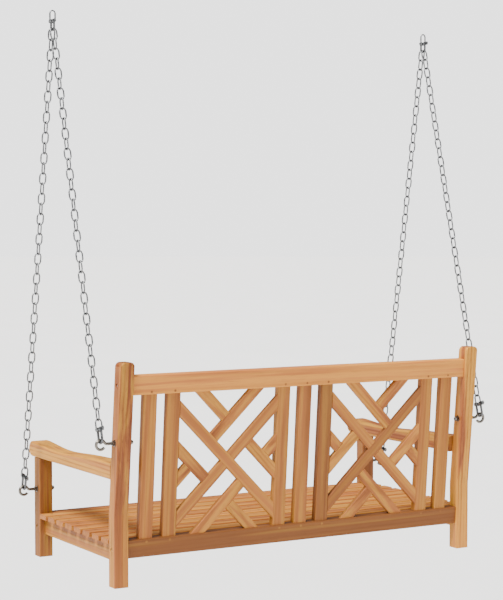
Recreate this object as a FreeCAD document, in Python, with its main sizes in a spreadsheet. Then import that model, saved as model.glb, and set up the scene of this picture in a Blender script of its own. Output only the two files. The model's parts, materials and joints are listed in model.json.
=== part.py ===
import FreeCAD, Part
import math
import os

import Sketcher
from FreeCAD import Placement, Rotation, Vector

# Teak porch swing on four chains.  X runs along the seat, with the sitter's left at +X,
# the bench faces -Y, and Z is up.  The origin is the middle of the hanging axis, where the
# porch's two hooks carry the hanging links.  Everything is in millimetres and degrees.

SIZES = {
    # bench frame
    "frame_width": 1200,
    "post_width": 42,
    "post_depth": 40,
    "post_height": 622,
    "post_lean": 6,
    "post_bend_height": 200,
    "post_top_radius": 13,
    "base_depth": 556,
    "leg_depth": 40,
    "arris": 3,
    "tenon_thickness": 10,
    # rails under the seat
    "seat_rail_height": 50,
    "seat_rail_thickness": 22,
    "seat_rail_top": 116,
    "bearer_height": 34,
    "side_rail_inset": 18,
    "side_tenon_length": 10,
    "side_tenon_width": 34,
    "front_rail_inset": 9,
    "long_tenon_length": 24,
    "long_tenon_width": 34,
    # back panel, square to its own slope
    "panel_foot_height": 128,
    "panel_foot_depth": 545,
    "panel_slope": 4.76,
    "panel_length": 403.4,
    "rail_thickness": 30,
    "rail_proud": 5,
    "top_rail_height": 54,
    "back_rail_height": 51,
    "upright_width": 41,
    "upright_thickness": 22,
    "upright_pitch": 72.5,
    "outer_upright_place": 500,
    "upright_tenon_length": 25,
    "upright_tenon_width": 29,
    "tenon_pin_radius": 3.5,
    "tenon_pin_margin": 8,
    "strip_width": 32,
    "strip_thickness": 14,
    "strip_spacing": 81,
    # seat
    "slat_width": 45,
    "slat_thickness": 15,
    "slat_pitch": 61,
    "front_slat_width": 36,
    "front_slat_gap": 1,
    # arms
    "arm_underside": 296,
    "arm_width": 54,
    "arm_overhang": 42,
    "arm_nose_radius": 23,
    "arm_round": 5,
    "arm_brow_place": 50,
    "arm_brow_thickness": 41.5,
    "arm_dip_place": 150,
    "arm_dip_thickness": 34.5,
    "arm_rise_place": 300,
    "arm_rise_thickness": 40.5,
    "arm_back_thickness": 49,
    # fasteners
    "rail_bolt_radius": 3,
    "rail_bolt_length": 70,
    "bolt_head_radius": 5.5,
    "bolt_head_height": 5,
    "bolt_recess": 8,
    "screw_radius": 2,
    "screw_head_radius": 4,
    "screw_length": 38,
    # hook bolts
    "hook_radius": 4,
    "hook_hole_clearance": 0.2,
    "hole_overshoot": 1,
    "front_hook_height": 203,
    "back_hook_height": 400,
    "eye_place": 642,
    "eye_radius": 13,
    "eye_drop": 2,
    "eye_join_angle": 150,
    "eye_shut_angle": -145,
    "hook_bend_angle": 60,
    "washer_radius": 9,
    "washer_thickness": 1.6,
    "nut_flats": 13,
    "nut_height": 6.5,
    "acorn_dome_height": 6,
    "acorn_dome_inset": 0.4,
    # chains and shackles
    "link_wire_radius": 2.25,
    "link_inner_width": 14,
    "hanging_link_inner_width": 11.4,
    "chain_pitch": 29.4,
    "play": 0.3,
    "front_links": 45,
    "back_links": 39,
    "first_link_offset": 5.5,
    "lower_shackle_radius": 3.5,
    "lower_shackle_half_width": 11,
    "lower_shackle_reach": 38,
    "lower_shackle_corner": 8,
    "top_shackle_radius": 3,
    "top_shackle_half_width": 10.5,
    "top_shackle_reach": 27,
    "top_shackle_corner": 4.5,
    # shackle and pin proportions, as multiples of the wire's radius
    "ear_half_thickness_ratio": 1.15,
    "ear_radius_ratio": 1.7,
    "leg_end_ratio": 1.3,
    "collar_radius_ratio": 1.4,
    "collar_length_ratio": 0.5,
    "pin_eye_place_ratio": 2.1,
    "pin_eye_radius_ratio": 1.8,
    "pin_eye_thickness_ratio": 0.9,
    "pin_eye_hole_ratio": 0.8,
}

doc = FreeCAD.newDocument("PorchSwing")
sheet = doc.addObject("Spreadsheet::Sheet", "Sizes")
for row, (alias, number) in enumerate(SIZES.items(), start=1):
    sheet.set("A%d" % row, alias)
    sheet.set("B%d" % row, str(number))
    sheet.setAlias("B%d" % row, alias)
doc.recompute()

pieces = {}


def size(alias):
    return float(sheet.get(alias))


def piece(label, item):
    """Give a finished sub-part its name and put it on the list of files."""
    item.Label = label
    pieces[label] = item
    return item


# ---------------------------------------------------------------- places

HALF_WIDTH = size("frame_width") / 2
POST_INNER = HALF_WIDTH - size("post_width")
LINK_WIRE = size("link_wire_radius")
PLAY = size("play")


def eye_top(depth, height):
    """Centre of the eye's top wire, as depth and height over the bench's feet."""
    return depth, height - size("eye_drop") + size("eye_radius")


def post_front(height):
    """Depth of the back post's front face at a height over the feet."""
    rise = max(0.0, height - size("post_bend_height"))
    return size("base_depth") - size("post_depth") + rise * math.tan(math.radians(size("post_lean")))


FRONT_HOOK_DEPTH = size("leg_depth") / 2
BACK_HOOK_DEPTH = post_front(size("back_hook_height")) + size("post_depth") / 2


def hanging_reach(links):
    """From the top shackle's bow to the eye's top wire, along a chain of so many links."""
    chain = links * size("chain_pitch") + PLAY + 2 * LINK_WIRE
    at_bow = size("top_shackle_radius") + LINK_WIRE + PLAY
    at_pin = size("lower_shackle_radius") + LINK_WIRE + PLAY
    at_eye = size("lower_shackle_radius") + size("hook_radius") + PLAY
    return chain - at_bow - at_pin + size("lower_shackle_reach") - at_eye


def bow_place():
    """Depth and height of the top bow, where the front and back chains meet."""
    offset = size("first_link_offset")
    front_depth, front_height = eye_top(FRONT_HOOK_DEPTH, size("front_hook_height"))
    back_depth, back_height = eye_top(BACK_HOOK_DEPTH, size("back_hook_height"))
    front = Vector(0, front_depth + offset, front_height)
    back = Vector(0, back_depth - offset, back_height)
    front_reach = hanging_reach(size("front_links"))
    back_reach = hanging_reach(size("back_links"))
    span = (back - front).Length
    along = (front_reach ** 2 - back_reach ** 2 + span ** 2) / (2 * span)
    across = math.sqrt(front_reach ** 2 - along ** 2)
    forward = (back - front) / span
    return front + forward * along + Vector(0, -forward.z, forward.y) * across


BOW = bow_place()
SWING_AXIS_HEIGHT = BOW.z + size("top_shackle_reach") - size("top_shackle_radius") - LINK_WIRE - PLAY
HANG_HEIGHT = SWING_AXIS_HEIGHT + size("chain_pitch") + PLAY + LINK_WIRE


def at(across, depth, height):
    """A point given by its place across, depth and height over the bench's feet."""
    return Vector(across, depth - BOW.y, height - HANG_HEIGHT)


def standing(point):
    return Placement(point, Rotation())


def lengthwise(point, side=1):
    """Local Z runs along X, and local X points up."""
    return Placement(point, Rotation(Vector(0, 0, 1), Vector(0, side, 0), Vector(side, 0, 0), "ZXY"))


def rearward(point):
    """Local Z runs along Y, and local X points up."""
    return Placement(point, Rotation(Vector(0, 0, 1), Vector(-1, 0, 0), Vector(0, 1, 0), "ZXY"))


slope = math.radians(size("panel_slope"))
PANEL_UP = Vector(0, math.sin(slope), math.cos(slope))
PANEL_FORWARD = Vector(0, -math.cos(slope), math.sin(slope))
PANEL_FOOT = at(0, size("panel_foot_depth"), size("panel_foot_height"))


def panel_point(across, up, forward):
    """A point from its place across, up the slope and forward of the panel's back face."""
    return PANEL_FOOT + Vector(across, 0, 0) + PANEL_UP * up + PANEL_FORWARD * forward


def panel_flat(across, up, forward):
    """Local XY lies in the panel, and local Z points forward."""
    rotation = Rotation(Vector(1, 0, 0), PANEL_UP, PANEL_FORWARD, "ZXY")
    return Placement(panel_point(across, up, forward), rotation)


def panel_rising(across, up, forward):
    """Local Z runs up the slope, and local X across."""
    rotation = Rotation(Vector(1, 0, 0), PANEL_FORWARD * -1, PANEL_UP, "ZXY")
    return Placement(panel_point(across, up, forward), rotation)


def panel_lengthwise(across, up, forward):
    """Local Z runs along X, and local X up the slope."""
    rotation = Rotation(PANEL_UP, PANEL_FORWARD * -1, Vector(1, 0, 0), "ZXY")
    return Placement(panel_point(across, up, forward), rotation)


# ---------------------------------------------------------------- shapes

def new_sketch(body, label, role="XY_Plane"):
    sketch = body.newObject("Sketcher::SketchObject", label + "_sketch")
    plane = next(item for item in body.Origin.OriginFeatures if item.Role == role)
    sketch.AttachmentSupport = [(plane, "")]
    sketch.MapMode = "FlatFace"
    return sketch


def draw_rectangle(sketch, wide, thick):
    """A rectangle about the sketch's origin, with its two sizes bound."""
    corners = [Vector(-1, -1, 0), Vector(1, -1, 0), Vector(1, 1, 0), Vector(-1, 1, 0)]
    for index, corner in enumerate(corners):
        sketch.addGeometry(Part.LineSegment(corner, corners[(index + 1) % 4]), False)
    for index in range(4):
        sketch.addConstraint(Sketcher.Constraint("Coincident", index, 2, (index + 1) % 4, 1))
    for index, direction in enumerate(("Horizontal", "Vertical", "Horizontal", "Vertical")):
        sketch.addConstraint(Sketcher.Constraint(direction, index))
    sketch.addConstraint(Sketcher.Constraint("Symmetric", 0, 1, 1, 2, -1, 1))
    across = sketch.addConstraint(Sketcher.Constraint("DistanceX", 0, 1, 0, 2, 2))
    upward = sketch.addConstraint(Sketcher.Constraint("DistanceY", 1, 1, 1, 2, 2))
    sketch.setExpression("Constraints[%d]" % across, wide)
    sketch.setExpression("Constraints[%d]" % upward, thick)


def round_over(body, base, wanted, radius):
    """Round the edges of base that the test wants."""
    names = ["Edge%d" % (index + 1) for index, edge in enumerate(base.Shape.Edges) if wanted(edge)]
    rounding = body.newObject("PartDesign::Fillet", base.Name + "_round")
    rounding.Base = (base, names)
    rounding.setExpression("Radius", radius)
    return rounding


def runs_along(edge, axis):
    ends = edge.Vertexes
    return len(ends) == 2 and (ends[1].Point - ends[0].Point).normalize().cross(axis).Length < 1e-6


def board(label, wide, thick, length, placement, arris="Sizes.arris"):
    """A planed board with rounded long edges: a rectangle in XY padded along Z."""
    body = doc.addObject("PartDesign::Body", label)
    sketch = new_sketch(body, label)
    draw_rectangle(sketch, wide, thick)
    pad = body.newObject("PartDesign::Pad", label + "_pad")
    pad.Profile = sketch
    pad.setExpression("Length", length)
    doc.recompute()
    round_over(body, pad, lambda edge: runs_along(edge, Vector(0, 0, 1)), arris)
    body.Placement = placement
    return body


def profile_board(label, outline, thickness, placement, wanted, radius):
    """A board sawn to a closed outline in XY, padded along Z, with some edges rounded."""
    body = doc.addObject("PartDesign::Body", label)
    sketch = new_sketch(body, label)
    for curve in outline:
        sketch.addGeometry(curve, False)
    pad = body.newObject("PartDesign::Pad", label + "_pad")
    pad.Profile = sketch
    pad.setExpression("Length", thickness)
    doc.recompute()
    if radius:
        round_over(body, pad, wanted, radius)
    body.Placement = placement
    return body


def closed_lines(points):
    return [Part.LineSegment(point, points[(index + 1) % len(points)])
            for index, point in enumerate(points)]


def box(label, length, width, height, placement):
    """A box about the local Z axis, standing on the local origin."""
    item = doc.addObject("Part::Box", label)
    item.setExpression("Length", length)
    item.setExpression("Width", width)
    item.setExpression("Height", height)
    doc.recompute()
    corner = Vector(-item.Length.Value / 2, -item.Width.Value / 2, 0)
    item.Placement = placement * Placement(corner, Rotation())
    return item


def cylinder(label, radius, height, placement):
    item = doc.addObject("Part::Cylinder", label)
    item.setExpression("Radius", radius)
    item.setExpression("Height", height)
    item.Placement = placement
    return item


def cone(label, foot_radius, top_radius, height, placement):
    item = doc.addObject("Part::Cone", label)
    item.setExpression("Radius1", foot_radius)
    item.setExpression("Radius2", top_radius)
    item.setExpression("Height", height)
    item.Placement = placement
    return item


def group(label, items):
    """Several separate solids in one object."""
    item = doc.addObject("Part::Compound", label)
    item.Links = items
    return item


def fuse(label, items):
    item = doc.addObject("Part::MultiFuse", label)
    item.Shapes = items
    return item


def cut(label, base, tools):
    """The base with every tool cut away; the tools don't touch each other."""
    item = doc.addObject("Part::Cut", label)
    item.Base = base
    item.Tool = tools[0] if len(tools) == 1 else group(label + "_tools", tools)
    return item


def fixed_shape(label, shape, placement=Placement()):
    """A swept or repeated shape that has no feature of its own."""
    item = doc.addObject("Part::Feature", label)
    item.Shape = shape
    item.Placement = placement
    return item


def bent_rod(points, radius):
    """A round rod along a list of tangent lines and arcs."""
    path = Part.Wire(Part.__sortEdges__([curve.toShape() for curve in points]))
    start = path.OrderedVertexes[0].Point
    tangent = path.OrderedEdges[0].tangentAt(path.OrderedEdges[0].FirstParameter)
    section = Part.Wire(Part.Circle(start, tangent, radius).toShape())
    return path.makePipeShell([section], True, True)


def arc(first, middle, last):
    return Part.Arc(first, middle, last)


# ---------------------------------------------------------------- bench frame

def side_name(side):
    return "left" if side > 0 else "right"


def make_post_blank(side):
    """The bent back post, drawn from the side, with its top corners rounded."""
    lean_top = post_front(size("post_height"))
    foot = post_front(0)
    deep = size("post_depth")
    bend = size("post_bend_height")
    tall = size("post_height")
    outline = closed_lines([
        Vector(foot, 0, 0), Vector(foot + deep, 0, 0), Vector(foot + deep, bend, 0),
        Vector(lean_top + deep, tall, 0), Vector(lean_top, tall, 0), Vector(foot, bend, 0)])
    rotation = Rotation(Vector(0, 1, 0), Vector(0, 0, 1), Vector(1, 0, 0), "ZXY")
    inner = POST_INNER if side > 0 else -HALF_WIDTH
    label = "back_post_%s_blank" % side_name(side)
    body = profile_board(label, outline, "Sizes.post_width",
                         Placement(at(inner, 0, 0), rotation), None, None)
    pad = body.Tip

    def is_top_corner(edge):
        level = edge.BoundBox
        return level.YMin > tall - 0.01 and level.ZLength < 0.01

    rounded_top = round_over(body, pad, is_top_corner, "Sizes.post_top_radius")
    doc.recompute()

    def is_arris(edge):
        level = edge.BoundBox
        on_side = level.ZLength < 0.01
        return on_side and level.YLength > size("post_width")

    round_over(body, rounded_top, is_arris, "Sizes.arris")
    return body


def long_tenon(label, placement):
    return box(label, "Sizes.long_tenon_width", "Sizes.tenon_thickness",
               "Sizes.long_tenon_length", placement)


def side_tenon(label, placement):
    return box(label, "Sizes.side_tenon_width", "Sizes.tenon_thickness",
               "Sizes.side_tenon_length", placement)


RAIL_MIDDLE = size("rail_thickness") / 2 - size("rail_proud")
SEAT_RAIL_MIDDLE = size("seat_rail_top") - size("seat_rail_height") / 2
FRONT_RAIL_DEPTH = size("front_rail_inset") + size("seat_rail_thickness") / 2
SIDE_RAIL_PLACE = HALF_WIDTH - size("side_rail_inset") - size("seat_rail_thickness") / 2
INNER_SPAN = "Sizes.frame_width - 2 * Sizes.post_width"


def rail_ends(label, up, height):
    """The two tenons of a rail in the back panel, as seen from the post's inner face."""
    tenons = []
    for side in (1, -1):
        start = POST_INNER if side > 0 else -POST_INNER - size("long_tenon_length")
        tenons.append(long_tenon("%s_tenon_%s" % (label, side_name(side)),
                                 panel_lengthwise(start, up + height / 2, RAIL_MIDDLE)))
    return tenons


def rail_bolt(label, middle, side):
    """A cap bolt along X from the recess in the post's outer face, and the hole for it."""
    head_place = middle + Vector(side * (HALF_WIDTH - size("bolt_recess")) - middle.x, 0, 0)
    inward = Placement(head_place, Rotation(Vector(0, 0, 1), Vector(-side, 0, 0)))
    outward = Placement(head_place, Rotation(Vector(0, 0, 1), Vector(side, 0, 0)))
    shank = cylinder(label + "_shank", "Sizes.rail_bolt_radius", "Sizes.rail_bolt_length", inward)
    head = cylinder(label + "_head", "Sizes.bolt_head_radius", "Sizes.bolt_head_height", outward)
    recess = cylinder(label + "_recess", "Sizes.bolt_head_radius", "Sizes.bolt_recess", outward)
    bolt = fuse(label, [shank, head])
    hole = fuse(label + "_hole", [shank, recess])
    return bolt, hole


def make_wood_and_bolts():
    """Posts, legs, rails and the bolts that pull their joints together."""
    top_ends = rail_ends("top_rail", size("panel_length"), size("top_rail_height"))
    back_ends = rail_ends("back_rail", -size("back_rail_height"), size("back_rail_height"))
    front_ends = []
    side_ends = {}
    bolts = []
    for side in (1, -1):
        start = POST_INNER if side > 0 else -POST_INNER - size("long_tenon_length")
        front_ends.append(long_tenon("front_rail_tenon_" + side_name(side),
                                     lengthwise(at(start, FRONT_RAIL_DEPTH, SEAT_RAIL_MIDDLE))))
        front_start = size("leg_depth") - size("side_tenon_length")
        side_ends[side] = [
            side_tenon("side_rail_%s_%s_tenon" % (side_name(side), end),
                       rearward(at(side * SIDE_RAIL_PLACE, depth, SEAT_RAIL_MIDDLE)))
            for end, depth in (("front", front_start), ("back", post_front(0)))]

    top_middle = panel_point(0, size("panel_length") + size("top_rail_height") / 2, RAIL_MIDDLE)
    back_middle = panel_point(0, -size("back_rail_height") / 2, RAIL_MIDDLE)
    front_middle = at(0, FRONT_RAIL_DEPTH, SEAT_RAIL_MIDDLE)
    holes = {}
    for rail, middle in (("top", top_middle), ("back", back_middle), ("front", front_middle)):
        for side in (1, -1):
            bolt, hole = rail_bolt("%s_rail_bolt_%s" % (rail, side_name(side)), middle, side)
            bolts.append(bolt)
            holes[rail, side] = hole
    piece("rail_bolts", group("rail_bolts", bolts))

    def hook_hole(side, end, depth, height):
        start = (POST_INNER if side > 0 else -HALF_WIDTH) - size("hole_overshoot")
        return cylinder("hook_hole_%s_%s" % (end, side_name(side)),
                        "Sizes.hook_radius + Sizes.hook_hole_clearance",
                        "Sizes.post_width + 2 * Sizes.hole_overshoot",
                        lengthwise(at(start, depth, height)))

    for index, side in enumerate((1, -1)):
        name = side_name(side)
        post_joints = fuse("post_joints_" + name, [
            top_ends[index], back_ends[index], side_ends[side][1],
            holes["top", side], holes["back", side],
            hook_hole(side, "back", BACK_HOOK_DEPTH, size("back_hook_height"))])
        piece("back_post_" + name, cut("back_post_" + name, make_post_blank(side), [post_joints]))

        leg_middle = at(side * (HALF_WIDTH - size("post_width") / 2), size("leg_depth") / 2, 0)
        leg = board("front_leg_%s_blank" % name, "Sizes.post_width", "Sizes.leg_depth",
                    "Sizes.arm_underside", standing(leg_middle))
        leg_joints = fuse("leg_joints_" + name, [
            front_ends[index], side_ends[side][0], holes["front", side],
            hook_hole(side, "front", FRONT_HOOK_DEPTH, size("front_hook_height"))])
        piece("front_leg_" + name, cut("front_leg_" + name, leg, [leg_joints]))

        rail = board("side_rail_%s_blank" % name, "Sizes.seat_rail_height",
                     "Sizes.seat_rail_thickness",
                     "Sizes.base_depth - Sizes.post_depth - Sizes.leg_depth",
                     rearward(at(side * SIDE_RAIL_PLACE, size("leg_depth"), SEAT_RAIL_MIDDLE)))
        joined = fuse("side_rail_%s_joined" % name, [rail] + side_ends[side])
        side_screws = seat_screws(side * SIDE_RAIL_PLACE, name)
        piece("side_rail_" + name, cut("side_rail_" + name, joined, side_screws))

    front = board("front_rail_blank", "Sizes.seat_rail_height", "Sizes.seat_rail_thickness",
                  INNER_SPAN, lengthwise(at(-POST_INNER, FRONT_RAIL_DEPTH, SEAT_RAIL_MIDDLE)))
    front_joined = fuse("front_rail_joined", [front] + front_ends)
    front_holes = [holes["front", 1], holes["front", -1]] + front_screws()
    piece("front_rail", cut("front_rail", front_joined, front_holes))
    return top_ends, back_ends, holes


# ---------------------------------------------------------------- seat

FIRST_SLAT = size("leg_depth") + size("front_slat_gap")
SLAT_COUNT = 8
SLAT_TOP = size("seat_rail_top") + size("slat_thickness")
screws = {}


def make_screw(label, across, depth):
    """A countersunk screw, flush with the slat's top."""
    down = Rotation(Vector(0, 0, 1), Vector(0, 0, -1))
    head = cone(label + "_head", "Sizes.screw_head_radius", "Sizes.screw_radius",
                "Sizes.screw_head_radius - Sizes.screw_radius",
                Placement(at(across, depth, SLAT_TOP), down))
    shank = cylinder(label + "_shank", "Sizes.screw_radius", "Sizes.screw_length",
                     Placement(at(across, depth, SLAT_TOP), down))
    return fuse(label, [head, shank])


def slat_middle(index):
    return FIRST_SLAT + index * size("slat_pitch") + size("slat_width") / 2


def seat_screws(across, name):
    row = [make_screw("screw_%s_%d" % (name, index + 2), across, slat_middle(index))
           for index in range(SLAT_COUNT)]
    screws[name] = row
    return row


def front_screws():
    reach = POST_INNER - 2 * size("post_width")
    row = [make_screw("screw_front_%d" % (index + 1), across, FRONT_RAIL_DEPTH)
           for index, across in enumerate((-reach, 0, reach))]
    screws["front"] = row
    return row


def make_seat(back_rail_blank):
    """Nine slats, the bearer under their middle, and the screws."""
    bearer_start = size("front_rail_inset") + size("seat_rail_thickness")
    bearer_middle = size("seat_rail_top") - size("bearer_height") / 2
    bearer = board("seat_bearer_blank", "Sizes.bearer_height", "Sizes.seat_rail_thickness",
                   "Sizes.base_depth - Sizes.leg_depth - Sizes.rail_thickness / 2",
                   rearward(at(0, bearer_start, bearer_middle)))
    piece("seat_bearer", cut("seat_bearer", bearer, [back_rail_blank] + seat_screws(0, "middle")))

    front = board("seat_slat_1_blank", "Sizes.front_slat_width", "Sizes.slat_thickness",
                  INNER_SPAN + " - 2 * Sizes.front_slat_gap",
                  slat_place(FRONT_RAIL_DEPTH, 2 * (size("front_slat_gap") - POST_INNER)))
    piece("seat_slat_1", cut("seat_slat_1", front, screws["front"]))
    for index in range(SLAT_COUNT):
        label = "seat_slat_%d" % (index + 2)
        slat = board(label + "_blank", "Sizes.slat_width", "Sizes.slat_thickness",
                     "Sizes.frame_width",
                     slat_place(slat_middle(index), -size("frame_width")))
        own = [screws[name][index] for name in ("left", "middle", "right")]
        piece(label, cut(label, slat, own))
    every_screw = [screw for row in screws.values() for screw in row]
    piece("slat_screws", group("slat_screws", every_screw))


def slat_place(depth, negative_length):
    """Local Z runs along X and local X across the slat."""
    point = at(negative_length / 2, depth, size("seat_rail_top") + size("slat_thickness") / 2)
    return Placement(point, Rotation(Vector(0, 1, 0), Vector(0, 0, 1), Vector(1, 0, 0), "ZXY"))


# ---------------------------------------------------------------- back panel

def upright_centres():
    """Two uprights beside each post, and three about the middle."""
    outer = size("outer_upright_place")
    pitch = size("upright_pitch")
    return [outer, outer - pitch, pitch, 0, -pitch, pitch - outer, -outer]


def make_back(top_ends, back_ends, holes):
    """Top rail, back rail, uprights with pinned tenons, and two lattice panels."""
    long = size("panel_length")
    top_tenons, foot_tenons, pins, uprights = [], [], [], []
    for index, across in enumerate(upright_centres(), start=1):
        label = "upright_%d" % index
        middle = size("upright_thickness") / 2
        stick = board(label + "_blank", "Sizes.upright_width", "Sizes.upright_thickness",
                      "Sizes.panel_length", panel_rising(across, 0, middle))
        ends = []
        for end, start in (("top", long), ("foot", -size("upright_tenon_length"))):
            ends.append(box("%s_%s_tenon" % (label, end), "Sizes.upright_tenon_width",
                            "Sizes.tenon_thickness", "Sizes.upright_tenon_length",
                            panel_rising(across, start, middle)))
        top_tenons.append(ends[0])
        foot_tenons.append(ends[1])
        own_pins = []
        margin = size("tenon_pin_margin")
        for end, up in (("top", long + margin), ("foot", -margin)):
            own_pins.append(cylinder("%s_%s_pin" % (label, end), "Sizes.tenon_pin_radius",
                                     "Sizes.rail_thickness - Sizes.rail_proud",
                                     panel_flat(across, up, -size("rail_proud"))))
        pins.extend(own_pins)
        uprights.append((label, stick, ends, own_pins))
    for label, stick, ends, own_pins in uprights:
        piece(label, cut(label, fuse(label + "_joined", [stick] + ends), own_pins))
    piece("tenon_pins", group("tenon_pins", pins))

    rails = {}
    for rail, tall, up, ends, mortises, rail_pins in (
            ("top", "Sizes.top_rail_height", long, top_ends, top_tenons, pins[0::2]),
            ("back", "Sizes.back_rail_height", -size("back_rail_height"), back_ends,
             foot_tenons, pins[1::2])):
        label = rail + "_rail"
        middle = up + size(label + "_height") / 2
        blank = board(label + "_blank", tall, "Sizes.rail_thickness", INNER_SPAN,
                      panel_lengthwise(-POST_INNER, middle, RAIL_MIDDLE))
        rails[rail] = blank
        joined = fuse(label + "_joined", [blank] + ends)
        joints = fuse(label + "_joints", mortises + rail_pins + [holes[rail, 1], holes[rail, -1]])
        piece(label, cut(label, joined, [joints]))
    return rails["back"]


HALF_BAY_WIDTH = (size("outer_upright_place") - 2 * size("upright_pitch") - size("upright_width")) / 2
HALF_BAY_HEIGHT = size("panel_length") / 2
BAY_PLACE = size("outer_upright_place") / 2
ROOT_TWO = math.sqrt(2)


def bay_point(rise, fall):
    """Across and up from the bay's middle, for offsets square to the two strip directions.

    A strip that climbs towards +X keeps rise the same along its edge, and one that climbs
    towards -X keeps fall the same.
    """
    return Vector(-(rise + fall) / ROOT_TWO, (rise - fall) / ROOT_TWO, 0)


def strip_outline(family, offset, start, end):
    """Four corners of a strip: start and end give the other offset for each edge's offset."""
    half = size("strip_width") / 2
    first, second = offset - half, offset + half
    ends = [(first, start(first)), (first, end(first)), (second, end(second)), (second, start(second))]
    if family == "rise":
        return [bay_point(edge, other) for edge, other in ends]
    return [bay_point(other, edge) for edge, other in ends]


def make_lattice(side):
    """Ten strips in one bay.  Turning the bay half round gives the same pattern."""
    half = size("strip_width") / 2
    step = size("strip_spacing")
    at_left = -ROOT_TWO * HALF_BAY_WIDTH
    at_top = ROOT_TWO * HALF_BAY_HEIGHT
    near = -step - half
    plans = {
        "long_whole": [("rise", 0, lambda e: at_left - e, lambda e: -at_left - e)],
        "long_lapped": [("fall", 0, lambda e: at_left - e, lambda e: -at_left - e)],
        "middle": [("fall", -step, lambda e: e + at_top, lambda e: half),
                   ("rise", -step, lambda e: at_left - e, lambda e: -half)],
        "short": [("rise", step, lambda e: e - at_top, lambda e: near),
                  ("fall", -step, lambda e: at_left - e, lambda e: near)],
    }
    name = side_name(side)
    for plan, strips in plans.items():
        made = []
        for number, (family, offset, start, end) in enumerate(strips, start=1):
            corners = strip_outline(family, offset, start, end)
            turned = [[corner, corner * -1] for corner in corners]
            for copy in range(1 if plan.startswith("long") else 2):
                points = [Vector(side * pair[copy].x, pair[copy].y, 0) for pair in turned]
                label = "lattice_%s_%s_%d_%d" % (name, plan, number, copy + 1)
                made.append(profile_board(
                    label, closed_lines(points), "Sizes.strip_thickness",
                    panel_flat(side * BAY_PLACE, HALF_BAY_HEIGHT, 0),
                    is_back_or_front_arris, "Sizes.arris / 2"))
        label = "lattice_%s_%s" % (name, plan)
        if plan.startswith("long"):
            lap_start = size("strip_thickness") / 2 if plan == "long_whole" else 0
            lap_place = panel_flat(side * BAY_PLACE, HALF_BAY_HEIGHT, lap_start)
            lap_place = lap_place * Placement(Vector(), Rotation(Vector(0, 0, 1), 45))
            lap = box(label + "_lap", "Sizes.strip_width", "Sizes.strip_width",
                      "Sizes.strip_thickness / 2", lap_place)
            piece(label, cut(label, made[0], [lap]))
        else:
            piece(label, group(label, made))


def is_back_or_front_arris(edge):
    """The long edges of a strip, which run at 45 degrees in the panel."""
    span = edge.BoundBox
    return span.ZLength < 0.01 and abs(span.XLength - span.YLength) < 0.01


# ---------------------------------------------------------------- arms

ARM_BACK_RISE = 0.05  # slope of the arm's top where it meets the post


def make_arm(side):
    """A scooped arm with a round nose, sawn to shape and resting on the front leg."""
    under = size("arm_underside")
    tip = -size("arm_overhang")
    nose = size("arm_nose_radius")
    nose_middle = tip + nose
    crown = under + 2 * nose
    back_top = under + size("arm_back_thickness")
    outline = [
        Part.LineSegment(Vector(post_front(under), under, 0), Vector(nose_middle, under, 0)),
        arc(Vector(nose_middle, under, 0), Vector(tip, under + nose, 0),
            Vector(nose_middle, crown, 0)),
    ]
    scoop = [Vector(size("arm_%s_place" % part), under + size("arm_%s_thickness" % part), 0)
             for part in ("brow", "dip", "rise")]
    crest = Part.BSplineCurve()
    crest.interpolate(
        Points=[Vector(nose_middle, crown, 0)] + scoop
        + [Vector(post_front(back_top), back_top, 0)],
        InitialTangent=Vector(1, 0, 0), FinalTangent=Vector(1, ARM_BACK_RISE, 0))
    outline.append(crest)
    outline.append(Part.LineSegment(Vector(post_front(back_top), back_top, 0),
                                    Vector(post_front(under), under, 0)))

    def is_arm_edge(edge):
        span = edge.BoundBox
        return span.ZLength < 0.01 and span.XLength > nose / 2

    rotation = Rotation(Vector(0, 1, 0), Vector(0, 0, 1), Vector(1, 0, 0), "ZXY")
    start = HALF_WIDTH - size("arm_width") if side > 0 else -HALF_WIDTH
    label = "arm_" + side_name(side)
    arm = profile_board(label, outline, "Sizes.arm_width", Placement(at(start, 0, 0), rotation),
                        is_arm_edge, "Sizes.arm_round")
    piece(label, arm)


# ---------------------------------------------------------------- hook bolts

def hook_wire():
    """The hook bolt's centre line about the shank's height, for the +X side."""
    ring = size("eye_radius")
    middle = Vector(size("eye_place"), 0, -size("eye_drop"))
    join = math.radians(size("eye_join_angle"))
    shut = math.radians(size("eye_shut_angle"))
    halfway = (join + shut) / 2

    def on_ring(angle):
        return middle + Vector(math.cos(angle), 0, math.sin(angle)) * ring

    touch = on_ring(join)
    turn = math.radians(size("hook_bend_angle"))
    bend = touch.z / (1 - math.cos(turn))
    start = Vector(touch.x - bend * math.sin(turn), 0, 0)
    centre = start + Vector(0, 0, bend)
    half_turn = centre + Vector(math.sin(turn / 2), 0, -math.cos(turn / 2)) * bend
    inner_end = Vector(POST_INNER - size("washer_thickness") - size("nut_height"), 0, 0)
    return [Part.LineSegment(inner_end, start), arc(start, half_turn, touch),
            arc(touch, on_ring(halfway), on_ring(shut))]


def hexagon_nut(label, placement, height):
    """A plain hexagon prism, before its hole is cut."""
    prism = doc.addObject("Part::Prism", label + "_prism")
    prism.Polygon = 6
    prism.setExpression("Circumradius", "Sizes.nut_flats / 2 / cos(30)")
    prism.setExpression("Height", height)
    prism.Placement = placement
    return prism


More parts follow.
